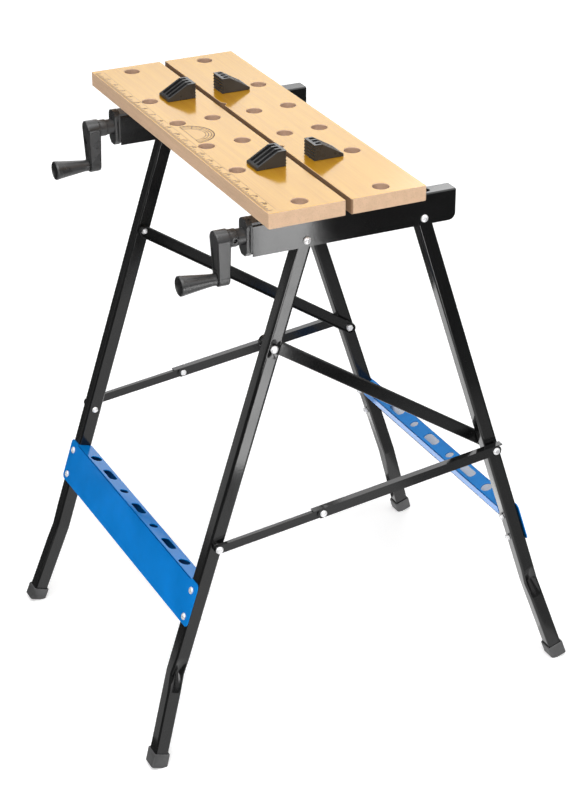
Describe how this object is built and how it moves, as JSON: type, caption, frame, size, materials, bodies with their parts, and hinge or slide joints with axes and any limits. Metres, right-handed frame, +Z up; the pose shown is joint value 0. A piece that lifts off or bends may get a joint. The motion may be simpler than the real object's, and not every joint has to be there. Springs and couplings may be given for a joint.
{
  "type": "folding workbench",
  "caption": "Folding workbench: a split wooden clamping top with crank handles and bench dogs, on splayed tubular steel legs with folding braces and holed tool trays.",
  "frame": {"origin": "on the floor, midway between the front and the rear feet and between the left and the right ones", "axes": "+X along the jaws to the right end, -Y towards the crank side, +Z up"},
  "size_m": [0.555, 0.6202, 0.7753],
  "materials": {
    "wood": "pale varnished board",
    "black_paint": "gloss black powder coat",
    "blue_paint": "gloss blue powder coat",
    "black_plastic": "fine moulded texture",
    "foot_rubber": "matte",
    "zinc": "bright zinc plate"
  },
  "bodies": {
    "front_frame": {"leg_front_left": "black_paint", "leg_front_right": "black_paint", "foot_front_left": "foot_rubber", "foot_front_right": "foot_rubber", "tray_front": "blue_paint", "tray_bolt_front_upper_left": "zinc", "tray_bolt_front_upper_right": "zinc", "tray_bolt_front_lower_left": "zinc", "tray_bolt_front_lower_right": "zinc", "bolt_bar_left": "zinc", "bolt_bar_right": "zinc", "bolt_brace_left": "zinc", "bolt_brace_right": "zinc"},
    "top": {"channel_left": "black_paint", "channel_right": "black_paint", "jaw_front": "wood", "end_bush_left": "black_plastic", "end_bush_right": "black_plastic", "jaw_block_left": "black_plastic", "jaw_block_right": "black_plastic", "bolt_top_front_left": "zinc", "bolt_top_front_right": "zinc", "bolt_top_rear_left": "zinc", "bolt_top_rear_right": "zinc"},
    "rear_frame": {"leg_rear_left": "black_paint", "leg_rear_right": "black_paint", "foot_rear_left": "foot_rubber", "foot_rear_right": "foot_rubber", "tray_rear": "blue_paint", "tray_bolt_rear_upper_left": "zinc", "tray_bolt_rear_upper_right": "zinc", "tray_bolt_rear_lower_left": "zinc", "tray_bolt_rear_lower_right": "zinc"},
    "bars": {"bar_left": "black_paint", "bar_right": "black_paint", "bolt_rear_inner_left": "zinc", "bolt_rear_inner_right": "zinc"},
    "short_braces": {"brace_short_left": "black_paint", "brace_short_right": "black_paint"},
    "long_braces": {"brace_long_left": "black_paint", "brace_long_right": "black_paint", "rivet_knee_left": "zinc", "rivet_knee_right": "zinc", "bolt_rear_outer_left": "zinc", "bolt_rear_outer_right": "zinc"},
    "crank_left": {"crank_left": "black_plastic", "clamp_screw_left": "zinc"},
    "crank_right": {"crank_right": "black_plastic", "clamp_screw_right": "zinc"},
    "rear_jaw": {"jaw_rear": "wood", "jaw_pad_left": "black_plastic", "jaw_pad_right": "black_plastic", "jaw_nut_left": "zinc", "jaw_nut_right": "zinc"},
    "grip_left": {"grip_left": "black_plastic"},
    "grip_right": {"grip_right": "black_plastic"},
    "dog_front_left": {"dog_front_left": "black_plastic"},
    "dog_front_right": {"dog_front_right": "black_plastic"},
    "dog_rear_left": {"dog_rear_left": "black_plastic"},
    "dog_rear_right": {"dog_rear_right": "black_plastic"}
  },
  "joints": [
    {"name": "top_fold", "type": "hinge", "parent": "front_frame", "child": "top", "pos_m": [0, -0.083, 0.686], "axis": [1, 0, 0], "range_deg": [-97.7, 0]},
    {"name": "rear_leg_fold", "type": "hinge", "parent": "top", "child": "rear_frame", "pos_m": [0, 0.0755, 0.686], "axis": [1, 0, 0], "range_deg": [0, 62.11]},
    {"name": "bar_fold", "type": "hinge", "parent": "front_frame", "child": "bars", "pos_m": [0, -0.12574, 0.55058], "axis": [1, 0, 0], "range_deg": [-69.95, 0]},
    {"name": "brace_fold", "type": "hinge", "parent": "front_frame", "child": "short_braces", "pos_m": [0, -0.20625, 0.29549], "axis": [1, 0, 0], "range_deg": [0, 65.48]},
    {"name": "knee_fold", "type": "hinge", "parent": "short_braces", "child": "long_braces", "pos_m": [0, -0.06313, 0.31309], "axis": [1, 0, 0], "range_deg": [-173.86, 0]},
    {"name": "crank_turn_left", "type": "hinge", "parent": "top", "child": "crank_left", "pos_m": [-0.2065, -0.18, 0.702], "axis": [0, -1, 0], "range_deg": [-467.9, 5759.9]},
    {"name": "crank_turn_right", "type": "hinge", "parent": "top", "child": "crank_right", "pos_m": [0.2065, -0.18, 0.702], "axis": [0, -1, 0], "range_deg": [-468, 5760]},
    {"name": "jaw_slide", "type": "slide", "parent": "top", "child": "rear_jaw", "axis": [0, 1, 0], "range_m": [-0.0065, 0.08]},
    {"name": "grip_spin_left", "type": "hinge", "parent": "crank_left", "child": "grip_left", "pos_m": [-0.2065, -0.22, 0.653], "axis": [0, -1, 0], "continuous": true},
    {"name": "grip_spin_right", "type": "hinge", "parent": "crank_right", "child": "grip_right", "pos_m": [0.2065, -0.22, 0.653], "axis": [0, -1, 0], "continuous": true},
    {"name": "dog_swivel_front_left", "type": "hinge", "parent": "top", "child": "dog_front_left", "pos_m": [-0.135, -0.0875, 0.755], "axis": [0, 0, 1], "continuous": true},
    {"name": "dog_swivel_front_right", "type": "hinge", "parent": "top", "child": "dog_front_right", "pos_m": [0.135, -0.0875, 0.755], "axis": [0, 0, 1], "continuous": true},
    {"name": "dog_swivel_rear_left", "type": "hinge", "parent": "rear_jaw", "child": "dog_rear_left", "pos_m": [-0.135, -0.0295, 0.755], "axis": [0, 0, 1], "continuous": true},
    {"name": "dog_swivel_rear_right", "type": "hinge", "parent": "rear_jaw", "child": "dog_rear_right", "pos_m": [0.135, -0.0295, 0.755], "axis": [0, 0, 1], "continuous": true}
  ],
  "couplings": [
    {"joint": "rear_leg_fold", "follows": "top_fold", "ratio": -0.63566},
    {"joint": "bar_fold", "follows": "top_fold", "ratio": 0.71584},
    {"joint": "brace_fold", "follows": "top_fold", "ratio": -0.67008},
    {"joint": "knee_fold", "follows": "top_fold", "ratio": 1.7793},
    {"joint": "crank_turn_right", "follows": "crank_turn_left", "ratio": 1},
    {"joint": "jaw_slide", "follows": "crank_turn_left", "m_per_rad": 0.00079577}
  ]
}
